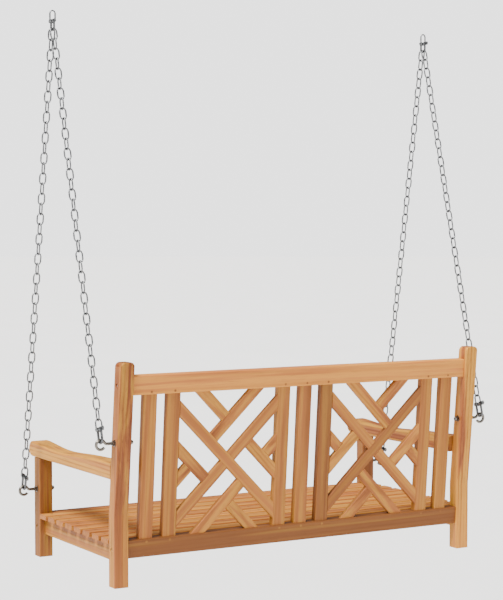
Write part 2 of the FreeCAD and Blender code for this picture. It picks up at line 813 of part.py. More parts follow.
def make_hooks():
    """Four hook bolts through the posts and legs, with washers and nuts on both sides."""
    rod = bent_rod(hook_wire(), size("hook_radius"))
    mirrored = rod.mirror(Vector(), Vector(1, 0, 0))
    hooks, washers, nuts, acorns = [], [], [], []
    for end, depth, height in (("front", FRONT_HOOK_DEPTH, size("front_hook_height")),
                               ("back", BACK_HOOK_DEPTH, size("back_hook_height"))):
        for side in (1, -1):
            label = "hook_%s_%s" % (end, side_name(side))
            hook = fixed_shape(label, rod if side > 0 else mirrored,
                               Placement(at(0, depth, height), Rotation()))
            hooks.append(hook)
            outward = Rotation(Vector(0, 0, 1), Vector(side, 0, 0))
            inward = Rotation(Vector(0, 0, 1), Vector(-side, 0, 0))
            outer = Placement(at(side * HALF_WIDTH, depth, height), outward)
            inner = Placement(at(side * POST_INNER, depth, height), inward)
            past_washer = Placement(Vector(0, 0, size("washer_thickness")), Rotation())
            for face, place in (("outer", outer), ("inner", inner)):
                disc = cylinder("%s_%s_disc" % (label, face), "Sizes.washer_radius",
                                "Sizes.washer_thickness", place)
                washers.append(cut("%s_%s_washer" % (label, face), disc, [hook]))
            outer_nut = hexagon_nut(label + "_outer", outer * past_washer, "Sizes.nut_height")
            nuts.append(cut(label + "_nut", outer_nut, [hook]))
            acorns.append(make_acorn(label, inner * past_washer, hook))
    piece("hook_bolts", group("hook_bolts", hooks))
    piece("hook_washers", group("hook_washers", washers))
    piece("hook_nuts", group("hook_nuts", nuts))
    piece("acorn_nuts", group("acorn_nuts", acorns))


def make_acorn(label, place, hook):
    """A nut closed by a round dome."""
    prism = hexagon_nut(label + "_acorn", place, "Sizes.nut_height")
    dome = doc.addObject("Part::Ellipsoid", label + "_dome")
    dome.setExpression("Radius1", "Sizes.acorn_dome_height")
    dome.setExpression("Radius2", "Sizes.nut_flats / 2 - Sizes.acorn_dome_inset")
    dome.setExpression("Radius3", "Sizes.nut_flats / 2 - Sizes.acorn_dome_inset")
    dome.Angle1 = 0
    dome.Placement = place * Placement(Vector(0, 0, size("nut_height")), Rotation())
    solid = fuse(label + "_acorn_solid", [prism, dome])
    return cut(label + "_acorn_nut", solid, [hook])


# ---------------------------------------------------------------- chains and shackles

def link_shape(inner_width):
    """One welded link, long way along Z and flat in XZ, about its middle."""
    bend = inner_width / 2 + LINK_WIRE
    straight = size("chain_pitch") + PLAY + 2 * LINK_WIRE - 2 * bend
    axis = Vector(0, 1, 0)
    solids = []
    for sign in (1, -1):
        end = Part.makeTorus(bend, LINK_WIRE, Vector(), axis, 0, 360, 180)
        highest = end.CenterOfMass.z
        if abs(highest) < 1e-3:
            end.rotate(Vector(), axis, 90)
            highest = end.CenterOfMass.z
        if highest * sign < 0:
            end.rotate(Vector(), axis, 180)
        end.translate(Vector(0, 0, sign * straight / 2))
        solids.append(end)
        solids.append(Part.makeCylinder(LINK_WIRE, straight,
                                        Vector(sign * bend, 0, -straight / 2), Vector(0, 0, 1)))
    return solids[0].fuse(solids[1:]).removeSplitter()


LINK = link_shape(size("link_inner_width"))


def leaning(direction):
    """Rotation that keeps X and turns Z to a direction in the YZ plane."""
    return Rotation(Vector(0, 0, 1), direction)


def make_chain(side, end, links, eye, offset):
    """Interlinked links from the top bow to the lower shackle's pin; gives the pin and pull."""
    bow = Vector(BOW.x, BOW.y + offset, BOW.z)
    pull = (bow - eye).normalize()
    turn = leaning(pull)
    quarter = Rotation(Vector(0, 0, 1), 90)
    first = size("top_shackle_radius") + PLAY / 2 - size("chain_pitch") / 2
    place = side * size("eye_place")
    made = []
    for index in range(int(links)):
        middle = bow + pull * (first - index * size("chain_pitch"))
        link = LINK.copy()
        link.Placement = Placement(at(place, middle.y, middle.z),
                                   turn if index % 2 == 0 else turn * quarter)
        made.append(link)
    label = "chain_%s_%s" % (end, side_name(side))
    piece(label, fixed_shape(label, Part.makeCompound(made)))
    return pull


def bow_shape(radius, half_width, reach, corner):
    """A D shackle in YZ: the pin's axis at the origin, the bow below it."""
    low = -reach
    leg_end = -size("leg_end_ratio") * radius
    nook = corner * math.sqrt(0.5)
    left, right = -half_width, half_width
    path = [
        Part.LineSegment(Vector(0, left, leg_end), Vector(0, left, low + corner)),
        arc(Vector(0, left, low + corner),
            Vector(0, left + corner - nook, low + corner - nook), Vector(0, left + corner, low)),
        Part.LineSegment(Vector(0, left + corner, low), Vector(0, right - corner, low)),
        arc(Vector(0, right - corner, low),
            Vector(0, right - corner + nook, low + corner - nook), Vector(0, right, low + corner)),
        Part.LineSegment(Vector(0, right, low + corner), Vector(0, right, leg_end)),
    ]
    rod = bent_rod(path, radius)
    ear_half = size("ear_half_thickness_ratio") * radius
    ears = [Part.makeCylinder(size("ear_radius_ratio") * radius, 2 * ear_half,
                              Vector(0, side * half_width - ear_half, 0),
                              Vector(0, 1, 0)) for side in (1, -1)]
    hole = Part.makeCylinder(radius, 4 * half_width, Vector(0, -2 * half_width, 0), Vector(0, 1, 0))
    return rod.fuse(ears).cut(hole).removeSplitter()


def pin_shape(radius, half_width):
    """The screw pin along Y, with a collar and a flat eye outside the +Y ear."""
    outside = half_width + size("ear_half_thickness_ratio") * radius
    shank = Part.makeCylinder(radius, 2 * outside, Vector(0, -outside, 0), Vector(0, 1, 0))
    collar = Part.makeCylinder(size("collar_radius_ratio") * radius,
                               size("collar_length_ratio") * radius,
                               Vector(0, outside, 0), Vector(0, 1, 0))
    eye_middle = outside + size("pin_eye_place_ratio") * radius
    thickness = size("pin_eye_thickness_ratio") * radius
    eye_foot = Vector(-thickness / 2, eye_middle, 0)
    eye = Part.makeCylinder(size("pin_eye_radius_ratio") * radius, thickness, eye_foot,
                            Vector(1, 0, 0))
    hole = Part.makeCylinder(size("pin_eye_hole_ratio") * radius, thickness, eye_foot,
                             Vector(1, 0, 0))
    return shank.fuse([collar, eye]).cut(hole).removeSplitter()


def make_suspension():
    """Hanging links, top shackles, chains and lower shackles on both sides."""
    top_radius = size("top_shackle_radius")
    top_half = size("top_shackle_half_width")
    top_bow = bow_shape(top_radius, top_half, size("top_shackle_reach"),
                        size("top_shackle_corner"))
    top_pin = pin_shape(top_radius, top_half)
    low_radius = size("lower_shackle_radius")
    low_half = size("lower_shackle_half_width")
    low_bow = bow_shape(low_radius, low_half, size("lower_shackle_reach"),
                        size("lower_shackle_corner"))
    low_pin = pin_shape(low_radius, low_half)
    top_place = BOW.z + size("top_shackle_reach")
    bows, pins = [], []
    for side in (1, -1):
        name = side_name(side)
        across = side * size("eye_place")
        hanging = Placement(at(across, BOW.y, SWING_AXIS_HEIGHT + (size("chain_pitch") + PLAY) / 2
                               + LINK_WIRE), Rotation())
        piece("hanging_link_" + name,
              fixed_shape("hanging_link_" + name,
                          link_shape(size("hanging_link_inner_width")), hanging))
        # on the left the pin's eye faces forward
        turned = Rotation(Vector(0, 0, 1), 180 if side > 0 else 0)
        top = Placement(at(across, BOW.y, top_place), turned)
        bows.append(fixed_shape("top_shackle_" + name, top_bow, top))
        pins.append(fixed_shape("top_shackle_pin_" + name, top_pin, top))
        low_bows, low_pins = [], []
        offset = size("first_link_offset")
        for end, depth, height, links, shift in (
                ("front", FRONT_HOOK_DEPTH, size("front_hook_height"), size("front_links"), -offset),
                ("back", BACK_HOOK_DEPTH, size("back_hook_height"), size("back_links"), offset)):
            eye_depth, eye_height = eye_top(depth, height)
            eye = Vector(0, eye_depth, eye_height)
            pull = make_chain(side, end, links, eye, shift)
            below = low_radius + size("hook_radius") + PLAY
            pin_middle = eye + pull * (size("lower_shackle_reach") - below)
            low = Placement(at(across, pin_middle.y, pin_middle.z), leaning(pull))
            low_bows.append(fixed_shape("lower_shackle_%s_%s" % (end, name), low_bow, low))
            low_pins.append(fixed_shape("lower_pin_%s_%s" % (end, name), low_pin, low))
        piece("lower_shackles_" + name, group("lower_shackles_" + name, low_bows))
        piece("lower_shackle_pins_" + name, group("lower_shackle_pins_" + name, low_pins))
    piece("top_shackles", group("top_shackles", bows))
    piece("top_shackle_pins", group("top_shackle_pins", pins))


# ---------------------------------------------------------------- whole swing

top_tenons, back_tenons, bolt_holes = make_wood_and_bolts()
back_blank = make_back(top_tenons, back_tenons, bolt_holes)
make_seat(back_blank)
for which_side in (1, -1):
    make_lattice(which_side)
    make_arm(which_side)
make_hooks()
make_suspension()
doc.recompute()

for item in doc.Objects:
    if "Invalid" in item.State or "Error" in item.State:
        raise RuntimeError("%s did not compute: %s" % (item.Name, item.State))
for label, item in pieces.items():
    if item.Shape.isNull() or not item.Shape.isValid():
        raise RuntimeError("%s has no valid shape" % label)

os.makedirs("parts", exist_ok=True)
for label, item in pieces.items():
    item.Shape.exportStep("parts/%s.step" % label)
print("%d nodes; bow at depth %.1f height %.1f; hanging axis %.1f over the feet"
      % (len(pieces), BOW.y, BOW.z, HANG_HEIGHT))
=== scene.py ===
import json
import math
import random

import bmesh
import bpy
from bpy.props import (FloatProperty, FloatVectorProperty, IntProperty, PointerProperty)
from mathutils import Euler, Matrix, Vector

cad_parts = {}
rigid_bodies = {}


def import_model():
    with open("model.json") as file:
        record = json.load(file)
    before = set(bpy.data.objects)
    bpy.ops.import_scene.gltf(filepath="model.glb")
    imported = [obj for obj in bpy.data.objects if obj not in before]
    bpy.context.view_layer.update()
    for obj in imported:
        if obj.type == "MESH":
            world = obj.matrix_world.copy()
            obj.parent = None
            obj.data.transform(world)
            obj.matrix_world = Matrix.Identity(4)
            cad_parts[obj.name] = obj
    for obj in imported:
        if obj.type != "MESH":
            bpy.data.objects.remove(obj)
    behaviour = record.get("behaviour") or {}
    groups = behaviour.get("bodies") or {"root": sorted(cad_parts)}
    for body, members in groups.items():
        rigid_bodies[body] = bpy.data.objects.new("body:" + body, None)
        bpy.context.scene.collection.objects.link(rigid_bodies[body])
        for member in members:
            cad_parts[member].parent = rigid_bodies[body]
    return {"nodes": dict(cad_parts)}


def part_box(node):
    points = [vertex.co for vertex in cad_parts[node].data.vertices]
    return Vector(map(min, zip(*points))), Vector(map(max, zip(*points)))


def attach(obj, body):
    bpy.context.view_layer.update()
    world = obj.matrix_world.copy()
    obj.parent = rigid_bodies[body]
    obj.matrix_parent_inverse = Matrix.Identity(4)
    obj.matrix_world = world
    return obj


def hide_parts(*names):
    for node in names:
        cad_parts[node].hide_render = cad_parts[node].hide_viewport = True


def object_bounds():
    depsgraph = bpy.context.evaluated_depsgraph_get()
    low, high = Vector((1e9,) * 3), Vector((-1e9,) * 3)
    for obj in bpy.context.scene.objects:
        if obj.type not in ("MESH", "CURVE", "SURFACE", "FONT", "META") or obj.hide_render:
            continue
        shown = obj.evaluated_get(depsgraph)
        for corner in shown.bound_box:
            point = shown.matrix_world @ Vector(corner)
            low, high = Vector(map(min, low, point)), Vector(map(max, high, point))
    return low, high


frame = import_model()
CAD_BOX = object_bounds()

bl_info = {
    "name": "Teak porch swing",
    "version": (1, 0, 0),
    "blender": (4, 5, 0),
    "location": "3D View > Sidebar > Porch swing",
    "description": "Builds the visible pieces of a teak porch swing on four chains",
    "category": "Add Mesh",
}

HALF_TURN = math.pi
QUARTER_TURN = math.pi / 2

# Sizes of the swing that a box round a node doesn't give.
PANEL_SLOPE = math.radians(4.76)  # lean of the back panel
HOOK_ROD_RADIUS = 0.004
FRONT_EYE_REACH = 0.030  # lowest point of a front eye to the middle of its top wire
FIRST_LINK_OFFSET = 0.0055  # middle of a top shackle's bow to the first link on either side
TOP_SHACKLE_RADIUS = 0.003  # radius of its wire

# Proportions of a welded link.
WELD_LENGTH_RATIO = 0.12  # half of the weld against the straight side
WELD_BULGE = 1.16

# Nuts, washers and threads.
NUT_CHAMFER = 0.0009
TURNED_BLANK_RATIO = 0.995  # blank that rounds the nut's corners, against the corners
DOME_INSET = 0.0004
DOME_SEAT = 0.0002
WASHER_EDGE = 0.0004
THREAD_TURNS = 10
THREAD_GAP = 0.0006  # clear rod between a nut and the thread
RIDGE_RATIO = 0.45  # ridge radius against the thread's pitch
RIDGE_SINK = 0.0001

# Screws and bolts.
SCREW_HEAD_HEIGHT = 0.004
SHANK_RATIO = 0.5  # shank against head
CROSS_ARM_WIDTH = 0.0009
CROSS_ARM_RATIO = 1.15  # arm of the cross against the head's radius
SOCKET_RADIUS = 0.0032
SOCKET_MARGIN = 0.002  # how far the socket's cutter stands clear of the head

# Floor, lights and camera.
FLOOR_RADIUS = 60
MAIN_LIGHT_FROM, MAIN_LIGHT_SPREAD = (0.62, 0.16, 1.0), 25
FILL_LIGHT_FROM, FILL_LIGHT_SPREAD = (0.15, 1.0, 0.18), 40
CAMERA_ASIDE, CAMERA_BEHIND, CAMERA_RISE = 2.6266, 4.7898, 1.0094
CAMERA_TILT, CAMERA_TURN = math.radians(87.31), math.radians(149.87)

# How light each board is against the rest, and how far its bands lean to gold (more) or to
# pinkish brown (less). The lightness is partly the board's own colour and partly painted
# light and shade: the top rail is lightened for the light falling on it from above, and the
# back rail and front legs are darkened as painted shade.
BOARD_LOOKS_AND_PAINTED_LIGHT = {
    "back_post_left": (0.94, -0.04), "back_post_right": (1.26, 0.08),
    "front_leg_left": (0.58, -0.03), "front_leg_right": (0.60, -0.03),
    "top_rail": (1.26, 0.06), "back_rail": (0.50, -0.06),
    "front_rail": (0.80, 0.0), "seat_bearer": (0.75, 0.0),
    "side_rail_left": (0.88, 0.02), "side_rail_right": (0.84, 0.0),
    "arm_left": (1.18, 0.09), "arm_right": (0.96, 0.0),
    "upright_1": (0.90, 0.0), "upright_2": (0.80, 0.02), "upright_3": (0.84, 0.04),
    "upright_4": (0.84, -0.04), "upright_5": (0.60, -0.06), "upright_6": (0.86, 0.05),
    "upright_7": (0.86, 0.02),
    "seat_slat_1": (0.98, 0.02), "seat_slat_2": (1.04, 0.0), "seat_slat_3": (0.94, 0.04),
    "seat_slat_4": (1.06, -0.02), "seat_slat_5": (0.99, 0.03), "seat_slat_6": (1.03, 0.0),
    "seat_slat_7": (0.93, 0.04), "seat_slat_8": (1.05, 0.01), "seat_slat_9": (1.0, 0.02),
}


# ---------------------------------------------------------------- settings

class TeakLook(bpy.types.PropertyGroup):
    """Colours and grain of the teak."""

    heartwood: FloatVectorProperty(name="Heartwood", description="Middle colour of the teak",
                                   subtype="COLOR", size=3, default=(0.285, 0.097, 0.018),
                                   min=0, max=1)
    ring_spacing: FloatProperty(name="Ring spacing", description="Distance between growth rings",
                                unit="LENGTH", default=0.011, min=0.002, max=0.05)
    roughness: FloatProperty(name="Roughness", description="Middle roughness of the planed faces",
                             default=0.52, min=0, max=1)
    relief: FloatProperty(name="Relief", description="Depth of the open grain",
                          unit="LENGTH", default=0.0006, min=0, max=0.003)


class MetalLook(bpy.types.PropertyGroup):
    """Colours of the plated fittings. Zinc and nickel are set far darker than the bright metals'
    own colour: painted shade standing in for the darker surroundings that the metal mirrors.
    """

    # Painted shade: zinc and nickel are darkened to stand in for the surroundings mirrored in the
    # metal.
    zinc: FloatVectorProperty(name="Zinc", description="Bright zinc of chains and shackles",
                              subtype="COLOR", size=3, default=(0.12, 0.123, 0.127), min=0, max=1)
    nickel: FloatVectorProperty(name="Nickel", description="Warm nickel of the hook bolts",
                                subtype="COLOR", size=3, default=(0.15, 0.135, 0.115), min=0, max=1)
    steel: FloatVectorProperty(name="Steel", description="Plain steel of the rail bolts",
                               subtype="COLOR", size=3, default=(0.70, 0.68, 0.65), min=0, max=1)
    bronze: FloatVectorProperty(name="Bronze", description="Browned bronze of the slat screws",
                                subtype="COLOR", size=3, default=(0.20, 0.10, 0.04), min=0, max=1)


class ChainSizes(bpy.types.PropertyGroup):
    """Sizes of a welded link."""

    wire_radius: FloatProperty(name="Wire radius", description="Radius of the link's wire",
                               unit="LENGTH", default=0.00225, min=0.001, max=0.005)
    inner_width: FloatProperty(name="Inner width", description="Clear width inside a link",
                               unit="LENGTH", default=0.014, min=0.004, max=0.03)
    hanging_width: FloatProperty(name="Hanging width", description="Clear width of a hanging link",
                                 unit="LENGTH", default=0.0114, min=0.004, max=0.03)
    pitch: FloatProperty(name="Pitch", description="Distance from one link's middle to the next",
                         unit="LENGTH", default=0.0294, min=0.01, max=0.08)
    play: FloatProperty(name="Play", description="Clearance where two links touch",
                        unit="LENGTH", default=0.0003, min=0, max=0.002)
    twist: FloatProperty(name="Twist", description="Largest turn of a link from its true place",
                         subtype="ANGLE", default=math.radians(4), min=0, max=math.radians(8))
    front_links: IntProperty(name="Front links", description="Links in a front chain",
                             default=45, min=2, max=100)
    back_links: IntProperty(name="Back links", description="Links in a back chain",
                            default=39, min=2, max=100)


class FastenerSizes(bpy.types.PropertyGroup):
    """Sizes of nuts, washers, threads and screw heads."""

    nut_flats: FloatProperty(name="Nut width", description="Width of a nut across its flats",
                             unit="LENGTH", default=0.013, min=0.005, max=0.03)
    nut_height: FloatProperty(name="Nut height", description="Height of a nut",
                              unit="LENGTH", default=0.0065, min=0.002, max=0.02)
    thread_pitch: FloatProperty(name="Thread pitch", description="Rise of the thread in a turn",
                                unit="LENGTH", default=0.00125, min=0.0005, max=0.003)
    recess_depth: FloatProperty(name="Recess depth", description="Depth of the driver's recess",
                                unit="LENGTH", default=0.0016, min=0.0005, max=0.004)


class StageLook(bpy.types.PropertyGroup):
    """Floor, light and camera."""

    floor_gap: FloatProperty(name="Floor gap", description="Height of the feet over the floor",
                             unit="LENGTH", default=0.42, min=0.05, max=2)
    surround: FloatProperty(name="Surround light", description="Strength of the light overhead",
                            default=0.7, min=0, max=10)
    backdrop: FloatProperty(name="Backdrop", description="Brightness of the plain backdrop",
                            default=2.55, min=0, max=10)
    key: FloatProperty(name="Main light", description="Strength of the soft light high on the left",
                       default=10.5, min=0, max=50)
    fill: FloatProperty(name="Fill light", description="Strength of the light behind the camera",
                        default=2.0, min=0, max=50)
    lens: FloatProperty(name="Lens", description="Focal length on a 36 mm sensor",
                        default=103.84, min=20, max=300)


# ---------------------------------------------------------------- shading

def node(tree, kind, sockets=None, **settings):
    """Add a shader node; a socket given as a value is a link, anything else its number."""
    made = tree.nodes.new(kind)
    for key, value in settings.items():
        setattr(made, key, value)
    for key, value in (sockets or {}).items():
        if isinstance(value, bpy.types.NodeSocket):
            tree.links.new(value, made.inputs[key])
        else:
            made.inputs[key].default_value = value
    return made


def ramp(tree, factor, stops):
    """A colour ramp; stops are (place, colour)."""
    made = node(tree, "ShaderNodeValToRGB", {"Fac": factor})
    elements = made.color_ramp.elements
    while len(elements) < len(stops):
        elements.new(0.5)
    for element, (place, colour) in zip(elements, stops):
        element.position = place
        element.color = (*colour, 1)
    return made.outputs["Color"]


def grey(value):
    """A neutral colour."""
    return (value, value, value)


def spread(tree, value, low, high, to_low, to_high):
    """Map a value from one range to another, clamped."""
    made = node(tree, "ShaderNodeMapRange", {
        "Value": value, "From Min": low, "From Max": high, "To Min": to_low, "To Max": to_high})
    return made.outputs["Result"]


def tint(tree, factor, first, second, kind="MIX"):
    """Mix two colours; either may be a socket or three numbers."""
    made = node(tree, "ShaderNodeMix", data_type="RGBA", blend_type=kind)
    sockets = (made.inputs[0], made.inputs[6], made.inputs[7])
    for socket, value in zip(sockets, (factor, first, second)):
        if isinstance(value, bpy.types.NodeSocket):
            tree.links.new(value, socket)
        elif isinstance(value, tuple):
            socket.default_value = (*value, 1)
        else:
            socket.default_value = value
    return made.outputs[2]


def start_material(name):
    """A new material, its node tree and its shader."""
    material = bpy.data.materials.new(name)
    material.use_nodes = True
    return material, material.node_tree, material.node_tree.nodes["Principled BSDF"]


def teak(name, centre, grain, tone, gold, seed, look):
    """Teak with its grain along a direction and its growth rings about a line beside the board.

    tone lightens the board; gold moves its bands towards golden sapwood.
    """
    material, tree, shader = start_material(name)
    dice = random.Random(seed)
    across = grain.orthogonal().normalized()
    beside = grain.cross(across)
    turn = grain.to_track_quat("X", "Z" if abs(grain.z) < 0.9 else "Y").to_matrix()
    lean = Euler((dice.uniform(-0.5, 0.5), dice.uniform(-0.02, 0.02),
                  dice.uniform(-0.02, 0.02))).to_matrix()
    heart = (centre + across * dice.choice((-1, 1)) * dice.uniform(0.05, 0.12)
             + beside * dice.choice((-1, 1)) * dice.uniform(0.05, 0.12)
             + grain * dice.uniform(-2, 2))
    angles = (turn @ lean).to_euler()
    coordinates = node(tree, "ShaderNodeTexCoord")

    def along_grain(stretch):
        return node(tree, "ShaderNodeMapping", {
            "Vector": coordinates.outputs["Object"], "Location": heart, "Rotation": angles,
            "Scale": (stretch, 1, 1)}, vector_type="TEXTURE").outputs["Vector"]

    broad, fine = along_grain(9), along_grain(38)
    rings = node(tree, "ShaderNodeTexWave", {
        "Vector": broad, "Scale": math.tau / 20 / look.ring_spacing, "Distortion": 3.2,
        "Detail": 3, "Detail Scale": 0.22, "Detail Roughness": 0.62},
        wave_type="RINGS", rings_direction="X")
    streaks = node(tree, "ShaderNodeTexNoise", {
        "Vector": fine, "Scale": 75, "Detail": 5, "Roughness": 0.62, "Distortion": 0.25})
    bands = node(tree, "ShaderNodeTexNoise", {
        "Vector": fine, "Scale": 48, "Detail": 3, "Roughness": 0.5, "Distortion": 0.5})
    fibres = node(tree, "ShaderNodeTexNoise", {
        "Vector": fine, "Scale": 620, "Detail": 2, "Roughness": 0.7})
    grains = node(tree, "ShaderNodeMath", {0: rings.outputs["Fac"], 1: 0.20},
                  operation="MULTIPLY").outputs[0]
    mixed = node(tree, "ShaderNodeMath", {0: streaks.outputs["Fac"], 1: 0.80, 2: grains},
                 operation="MULTIPLY_ADD").outputs[0]

    middle = Vector(look.heartwood) * tone

    def shade(red, green, blue):
        return (min(middle.x * red, 1), min(middle.y * green, 1), min(middle.z * blue, 1))

    colour = ramp(tree, bands.outputs["Fac"], [
        (0.40 - gold, shade(0.62, 0.48, 0.72)), (0.48 - gold, shade(0.94, 0.90, 0.95)),
        (0.57 - gold, shade(1.30, 1.72, 1.10))])
    darker = ramp(tree, mixed, [(0.32, (0.66, 0.58, 0.54)), (0.46, (0.93, 0.92, 0.91)),
                                (0.66, (1, 1, 1))])
    colour = tint(tree, 1.0, colour, darker, "MULTIPLY")
    rims = ramp(tree, rings.outputs["Fac"], [(0.03, (0.66, 0.54, 0.46)), (0.26, (1, 1, 1))])
    colour = tint(tree, 0.3, colour, rims, "MULTIPLY")
    pores = ramp(tree, fibres.outputs["Fac"], [(0.34, grey(0.55)), (0.43, grey(1.0))])
    colour = tint(tree, 0.8, colour, pores, "MULTIPLY")
    facing = node(tree, "ShaderNodeVectorMath", {
        0: coordinates.outputs["Normal"], 1: grain}, operation="DOT_PRODUCT").outputs["Value"]
    facing = node(tree, "ShaderNodeMath", {0: facing}, operation="ABSOLUTE").outputs[0]
    end_grain = spread(tree, facing, 0.75, 0.95, 0, 0.75)
    colour = tint(tree, end_grain, colour, shade(0.42, 0.36, 0.30))
    # Painted highlight: the rounded arrises, found by their pointiness, are lightened as if
    # catching the light.
    painted_edge_highlight = node(tree, "ShaderNodeNewGeometry").outputs["Pointiness"]
    colour = tint(tree, spread(tree, painted_edge_highlight, 0.515, 0.60, 0, 0.45), colour, shade(1.5, 1.6, 1.75))
    tree.links.new(colour, shader.inputs["Base Color"])
    tree.links.new(spread(tree, mixed, 0.3, 0.75, look.roughness + 0.10, look.roughness - 0.08),
                   shader.inputs["Roughness"])
    shader.inputs["Specular IOR Level"].default_value = 0.2
    relief = node(tree, "ShaderNodeMath", {0: fibres.outputs["Fac"], 1: 0.5, 2: mixed},
                  operation="MULTIPLY_ADD").outputs[0]
    bump = node(tree, "ShaderNodeBump", {"Height": relief, "Strength": 0.35,
                                         "Distance": look.relief})
    tree.links.new(bump.outputs["Normal"], shader.inputs["Normal"])
    return material


def plated(name, colour, roughness, seed):
    """Plated metal with cloudy patches, fine pits and a painted highlight on its convex edges; seed
    moves them.
    """
    material, tree, shader = start_material(name)
    coordinates = node(tree, "ShaderNodeTexCoord")
    place = node(tree, "ShaderNodeMapping", {
        "Vector": coordinates.outputs["Object"], "Location": (seed, seed / 3, -seed)}).outputs[0]
    clouds = node(tree, "ShaderNodeTexNoise", {
        "Vector": place, "Scale": 160, "Detail": 3, "Roughness": 0.6}).outputs["Fac"]
    pits = node(tree, "ShaderNodeTexNoise", {
        "Vector": place, "Scale": 1500, "Detail": 2}).outputs["Fac"]
    base = Vector(colour)
    shades = ramp(tree, clouds, [(0.3, tuple(base * 0.72)), (0.5, tuple(base)),
                                 (0.7, tuple(base * 1.22))])
    # Painted highlight: convex edges, found by their pointiness, are brightened as if catching the
    # light.
    painted_edge_highlight = node(tree, "ShaderNodeNewGeometry").outputs["Pointiness"]
    shades = tint(tree, spread(tree, painted_edge_highlight, 0.52, 0.60, 0, 0.4), shades, tuple(base * 1.45))
    tree.links.new(shades, shader.inputs["Base Color"])
    tree.links.new(spread(tree, clouds, 0.3, 0.7, roughness - 0.07, roughness + 0.09),
                   shader.inputs["Roughness"])
    shader.inputs["Metallic"].default_value = 1
    bump = node(tree, "ShaderNodeBump", {"Height": pits, "Strength": 0.25, "Distance": 0.0002})
    tree.links.new(bump.outputs["Normal"], shader.inputs["Normal"])
    return material


def painted_floor():
    """Pale matt floor with faint clouding."""
    material, tree, shader = start_material("pale_floor")
    coordinates = node(tree, "ShaderNodeTexCoord")
    place = node(tree, "ShaderNodeMapping", {"Vector": coordinates.outputs["Object"]}).outputs[0]
    clouds = node(tree, "ShaderNodeTexNoise", {
        "Vector": place, "Scale": 1.5, "Detail": 3}).outputs["Fac"]
    tree.links.new(ramp(tree, clouds, [(0.3, grey(0.78)), (0.7, grey(0.80))]),
                   shader.inputs["Base Color"])
    tree.links.new(spread(tree, clouds, 0.3, 0.7, 0.85, 0.95), shader.inputs["Roughness"])
    return material


# ---------------------------------------------------------------- modelling helpers

def choose(*objects):
    """Select only these objects, the last one active."""
    bpy.ops.object.select_all(action="DESELECT")
    for obj in objects:
        obj.select_set(True)
    bpy.context.view_layer.objects.active = objects[-1]


def edit(obj, kind="VERT", everything=False):
    """Open an object for editing with nothing or everything selected."""
    choose(obj)
    bpy.ops.object.mode_set(mode="EDIT")
    bpy.ops.mesh.select_mode(type=kind)
    bpy.ops.mesh.select_all(action="SELECT" if everything else "DESELECT")


def leave_edit():
    bpy.ops.object.mode_set(mode="OBJECT")


def named(name):
    """Name the object that the last operator made, with its place in its vertices."""
    obj = bpy.context.active_object
    choose(obj)
    bpy.ops.object.transform_apply(location=True, rotation=True, scale=True)
    obj.name = name
    obj.data.name = name
    return obj


def select_faces(obj, test):
    """In edit mode, select the faces whose centre and normal pass a test."""
    mesh = bmesh.from_edit_mesh(obj.data)
    for face in mesh.faces:
        face.select_set(test(face.calc_center_median(), face.normal))
    bmesh.update_edit_mesh(obj.data)


def apply_modifier(obj, kind, **settings):
    """Add a modifier with its settings and apply it."""
    choose(obj)
    modifier = obj.modifiers.new(kind.title(), kind)
    for key, value in settings.items():
        setattr(modifier, key, value)
    bpy.ops.object.modifier_apply(modifier=modifier.name)


def smooth(obj, degrees=35):
    choose(obj)
    bpy.ops.object.shade_smooth_by_angle(angle=math.radians(degrees))


def copy_to(source, matrix, name):
    """A copy with its own mesh, moved in its vertices."""
    made = source.copy()
    made.data = source.data.copy()
    made.data.transform(matrix)
    made.name = name
    bpy.context.scene.collection.objects.link(made)
    return made


def remove(*objects):
    for obj in objects:
        bpy.data.objects.remove(obj)


def join(parts, name):
    """Join pieces into one object."""
    choose(*parts)
    bpy.ops.object.join()
    return named(name)


def finish(obj, body, slot, material, *nodes):
    """Give a piece its finish, its body and the CAD nodes it stands for."""
    obj.data.materials.clear()
    obj.data.materials.append(material)
    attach(obj, body)
    if nodes:
        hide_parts(*nodes)


def dress(node_name, material):
    """Put a material in the object's own slots of a CAD node."""
    for held in frame["nodes"][node_name].material_slots:
        held.link = "OBJECT"
        held.material = material


def middle_of(node_name):
    low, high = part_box(node_name)
    return (low + high) / 2


def loose_parts(node_name):
    """Weld a copy of a CAD node's mesh and split it into its solids, in a steady order."""
    source = frame["nodes"][node_name]
    whole = bpy.data.objects.new(node_name + "_copy", source.data.copy())
    bpy.context.scene.collection.objects.link(whole)
    before = set(bpy.data.objects)
    edit(whole, everything=True)
    bpy.ops.mesh.remove_doubles(threshold=1e-6)
    bpy.ops.mesh.separate(type="LOOSE")
    leave_edit()
    parts = [whole] + [obj for obj in bpy.data.objects if obj not in before]
    return sorted(parts, key=lambda part: tuple(round(v, 4) for v in centre_of(part)))


def corners_of(obj):
    """Lowest and highest corners of an object's mesh."""
    points = [vertex.co for vertex in obj.data.vertices]
    low = Vector(min(p[i] for p in points) for i in range(3))
    high = Vector(max(p[i] for p in points) for i in range(3))
    return low, high


def centre_of(obj):
    low, high = corners_of(obj)
    return (low + high) / 2


def solid_places(node_name):
    """Lowest and highest corners of each solid in a CAD node."""
    parts = loose_parts(node_name)
    places = [corners_of(part) for part in parts]
    remove(*parts)
    return places


def step(travel, grow=1.0, centre=None):
    """Extrude the selected ring, and resize it about its centre."""
    bpy.ops.mesh.extrude_region_move(TRANSFORM_OT_translate={"value": travel})
    if centre is not None:
        bpy.ops.transform.resize(value=(grow, grow, grow), center_override=centre)


def turn_ring(centre, axis, angle, steps):
    """Carry the selected ring round an axis."""
    bpy.ops.mesh.spin(steps=steps, angle=angle, center=centre, axis=axis)


# ---------------------------------------------------------------- wood

